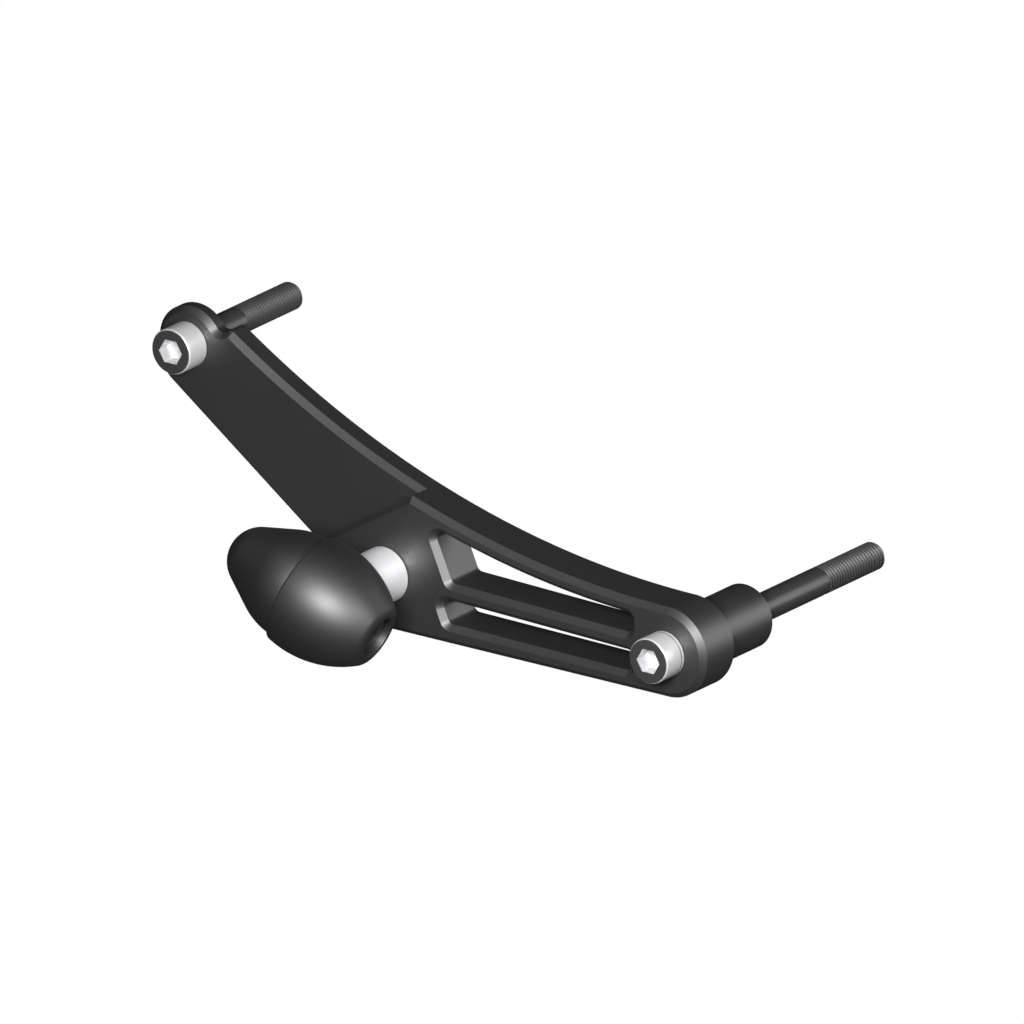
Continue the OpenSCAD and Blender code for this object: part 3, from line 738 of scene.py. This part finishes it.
def finish(name, colour, worn, metallic, rough, grain, wear, place=None, rings=None, shank=None,
           **fixed):
    """A finish with the shared grain and edge wear. Rings adds turned lines round the place's Z axis.
    Shank is the dark colour given past the plate's face, and the same colour is painted on the screw heads' end faces
    as painted shade."""
    material = bpy.data.materials.new(name)
    material.use_nodes = True
    wire = Wiring(material.node_tree)
    shader = wire.nodes["Principled BSDF"]
    spot = wire.nodes.new("ShaderNodeTexCoord").outputs["Object"]
    fine = wire.nodes.new("ShaderNodeGroup")
    fine.node_tree = GRAIN
    wire.put(fine.inputs["Vector"], spot)
    for socket, value in zip(("Grain Scale", "Mottle Scale"), grain[:2]):
        fine.inputs[socket].default_value = value
    fine.inputs["Rough Low"].default_value, fine.inputs["Rough High"].default_value = rough
    edges = wire.nodes.new("ShaderNodeGroup")
    edges.node_tree = WEAR
    wire.put(edges.inputs["Vector"], spot)
    edges.inputs["Reach"].default_value = wear[0]
    edges.inputs["Amount"].default_value = wear[1]
    dark, light = (tuple(c * k for c in colour) + (1.0,) for k in (0.9, 1.1))
    base = wire.blend(fine.outputs["Mottle"], dark, light)
    colour_here = wire.blend(edges.outputs["Mask"], base, tuple(worn) + (1.0,))
    if shank:
        apart = wire.nodes.new("ShaderNodeSeparateXYZ")
        wire.put(apart.inputs[0], spot)
        # Past the plate's front the bolts' shanks, and past -0.03 the slider's screw, take the dark shank colour
        behind = wire.maths("GREATER_THAN", wire.maths("ABSOLUTE", wire.maths("ADD", apart.outputs["Y"], 0.0165)),
                            0.0135)
        dark_shank_and_face_shade_colour = wire.blend(fine.outputs["Mottle"], tuple(c * 0.85 for c in shank) + (1.0,),
                          tuple(c * 1.15 for c in shank) + (1.0,))
        # Painted shade: the heads' end faces are painted darker than their turned sides
        for seat in (ARM_T, PAD_T):
            front = (EYE_RELIEF - seat - BOLT_HEAD_H) * MM
            off = wire.maths("ABSOLUTE", wire.maths("SUBTRACT", apart.outputs["Y"], front))
            behind = wire.maths("MAXIMUM", behind, wire.maths("LESS_THAN", off, EDGE_BREAK * MM))
        colour_here = wire.blend(behind, colour_here, dark_shank_and_face_shade_colour)
    wire.put(shader.inputs["Base Color"], colour_here)
    wire.put(shader.inputs["Roughness"], fine.outputs["Roughness"])
    height = fine.outputs["Height"]
    if rings:
        turning = wire.nodes.new("ShaderNodeMapping")
        turning.vector_type = "TEXTURE"
        turning.inputs["Location"].default_value = place.to_translation()
        turning.inputs["Rotation"].default_value = place.to_euler()
        wire.put(turning.inputs["Vector"], spot)
        flat = wire.nodes.new("ShaderNodeVectorMath")
        flat.operation = "MULTIPLY"
        flat.inputs[1].default_value = (0.02, 0.02, 1.0)
        wire.put(flat.inputs[0], turning.outputs[0])
        height = wire.maths("ADD", wire.maths("MULTIPLY", height, 0.3), wire.noise(flat.outputs[0], rings, 1.0))
    bump = wire.nodes.new("ShaderNodeBump")
    bump.inputs["Strength"].default_value = grain[2]
    bump.inputs["Distance"].default_value = grain[3]
    wire.put(bump.inputs["Height"], height)
    wire.put(shader.inputs["Normal"], bump.outputs[0])
    shader.inputs["Metallic"].default_value = metallic
    for socket, value in fixed.items():
        shader.inputs[socket.replace("_", " ")].default_value = value
    return material


BLACK = finish("black anodised aluminium", (0.014, 0.014, 0.0145), (0.08, 0.08, 0.084), 0.0, (0.42, 0.5),
               (4200.0, 45.0, 0.12, 0.00003), (0.0003, 0.5), Specular_IOR_Level=1.0)
# The shank colour is also painted on the screw heads' end faces as painted shade
STEEL = finish("bright bolt steel", (0.6, 0.6, 0.61), (0.7, 0.7, 0.71), 0.4, (0.34, 0.42),
               (5200.0, 120.0, 0.06, 0.00002), (0.0003, 0.4), shank=(0.05, 0.05, 0.052))
ALUMINIUM = finish("turned aluminium", (0.78, 0.785, 0.795), (0.85, 0.85, 0.86), 0.4, (0.34, 0.42),
                   (4200.0, 90.0, 0.1, 0.00002), (0.0003, 0.4), SPACER_PLACE, 1400.0)
PLASTIC = finish("moulded black plastic", (0.007, 0.007, 0.0074), (0.025, 0.025, 0.026), 0.0, (0.47, 0.53),
                 (2600.0, 30.0, 0.1, 0.00004), (0.0004, 0.4), Specular_IOR_Level=1.0)
BRASS = finish("turned brass", (0.62, 0.42, 0.16), (0.75, 0.55, 0.26), 1.0, (0.28, 0.38),
               (4200.0, 90.0, 0.1, 0.00002), (0.0003, 0.4))


def hand_in(piece, node, material):
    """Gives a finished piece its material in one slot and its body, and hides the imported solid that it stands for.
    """
    piece.name = piece.name.replace(" ", "_")
    piece.data.name = piece.name
    piece.data.materials.clear()
    piece.data.materials.append(material)
    for face in piece.data.polygons:
        face.material_index = 0
    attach(piece, "root")
    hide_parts(node)


FIXING = (BOLT_HEAD_D, BOLT_HEAD_H, BOLT_HEX, THREAD_L)
hand_in(make_bracket(), "bracket", BLACK)
hand_in(cap_screw("upper bolt steel", UPPER_BOLT_PLACE, (BOLT_D, UPPER_BOLT_L) + FIXING, STEEL),
        "upper_bolt", STEEL)
hand_in(cap_screw("lower bolt steel", LOWER_BOLT_PLACE, (BOLT_D, LOWER_BOLT_L) + FIXING, STEEL),
        "lower_bolt", STEEL)
hand_in(make_lower_spacer(), "lower_spacer", BLACK)
hand_in(make_slider_spacer(), "slider_spacer", ALUMINIUM)
hand_in(cap_screw("spacer screw steel", SPACER_SCREW_PLACE,
                  (STUD_D, STUD_L, STUD_HEAD_D, STUD_HEAD_H, BOLT_HEX, STUD_L - STUD_HEAD_H), STEEL),
        "spacer_screw", STEEL)
hand_in(make_slider_body(), "slider_body", PLASTIC)
hand_in(make_slider_nose(), "slider_nose", PLASTIC)
hand_in(cap_screw("clamp screw steel", CLAMP_PLACE,
                  (CLAMP_D, CLAMP_L, CLAMP_HEAD_D, CLAMP_HEAD_H, CLAMP_HEX, CLAMP_THREAD_L), STEEL),
        "clamp_screw", STEEL)
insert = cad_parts["nose_insert"]
insert.data.materials.clear()
insert.data.materials.append(BRASS)


# ---------- the room ----------
RIGHT = Vector((0.8108, 0.5853, 0.0))
UP = Vector((-0.1990, 0.2757, 0.9404))
TOWARDS = Vector((0.5504, -0.7625, 0.3400))


def make_camera():
    """A camera without perspective, at the photograph's angle and scale."""
    lens = bpy.data.cameras.new("camera")
    lens.type = "ORTHO"
    lens.ortho_scale = 0.34362
    lens.clip_end = 20
    camera = bpy.data.objects.new("camera", lens)
    aim = Vector((0.09691, 0.04562, -0.05457))
    camera.matrix_world = Matrix.Translation(aim + 0.7 * TOWARDS) @ Matrix((RIGHT, UP, TOWARDS)).transposed().to_4x4()
    bpy.context.scene.collection.objects.link(camera)
    bpy.context.scene.camera = camera


def panel(name, direction, distance, size, power, aim=(0.1, -0.01, -0.04)):
    """A soft light panel that faces the slider from that direction."""
    light = bpy.data.lights.new(name, "AREA")
    light.shape = "RECTANGLE"
    light.size, light.size_y = size
    light.energy = power
    lamp = bpy.data.objects.new(name, light)
    away = Vector(direction).normalized()
    lamp.matrix_world = (Matrix.Translation(Vector(aim) + distance * away)
                         @ away.to_track_quat("Z", "Y").to_matrix().to_4x4())
    lamp.visible_camera = False
    bpy.context.scene.collection.objects.link(lamp)
    return lamp


def white_to_camera(tree, output_name, dim, shader_kind):
    """Shows plain white to the camera, and gives only a dim light to the object."""
    wire = Wiring(tree)
    seen = wire.nodes.new("ShaderNodeEmission" if shader_kind == "floor" else "ShaderNodeBackground")
    rest = wire.nodes.new("ShaderNodeBsdfDiffuse" if shader_kind == "floor" else "ShaderNodeBackground")
    seen.inputs["Color"].default_value = (1, 1, 1, 1)
    seen.inputs["Strength"].default_value = 1.0
    rest.inputs["Color"].default_value = (*dim, 1)
    mix = wire.nodes.new("ShaderNodeMixShader")
    wire.put(mix.inputs[0], wire.nodes.new("ShaderNodeLightPath").outputs["Is Camera Ray"])
    wire.links.new(rest.outputs[0], mix.inputs[1])
    wire.links.new(seen.outputs[0], mix.inputs[2])
    wire.links.new(mix.outputs[0], wire.nodes[output_name].inputs["Surface"])


def make_room():
    """A large pale floor well under the object, a pale world and the light panels."""
    world = bpy.data.worlds.new("pale room")
    world.use_nodes = True
    bpy.context.scene.world = world
    white_to_camera(world.node_tree, "World Output", (0.008, 0.008, 0.008), "world")

    mesh = bpy.data.meshes.new("floor")
    half, level = 6.0, -0.5
    mesh.from_pydata([(-half, -half, level), (half, -half, level), (half, half, level), (-half, half, level)],
                     [], [(0, 1, 2, 3)])
    floor = bpy.data.objects.new("floor", mesh)
    paint = bpy.data.materials.new("pale floor")
    paint.use_nodes = True
    paint.node_tree.nodes.remove(paint.node_tree.nodes["Principled BSDF"])
    white_to_camera(paint.node_tree, "Material Output", (0.05, 0.05, 0.05), "floor")
    mesh.materials.append(paint)
    bpy.context.scene.collection.objects.link(floor)

    panel("key by the camera", (0.48, -0.79, 0.39), 1.1, (0.4, 0.3), 24.0)
    panel("top strip", (-0.11, -0.48, 0.80), 1.0, (1.2, 0.4), 0.6)
    panel("side box", (0.92, -0.22, 0.32), 1.2, (0.4, 0.4), 6.0)
    panel("back box", (0.62, 0.76, 0.17), 1.0, (0.6, 0.5), 3.0)


make_camera()
make_room()
bpy.context.scene.view_settings.view_transform = "Standard"
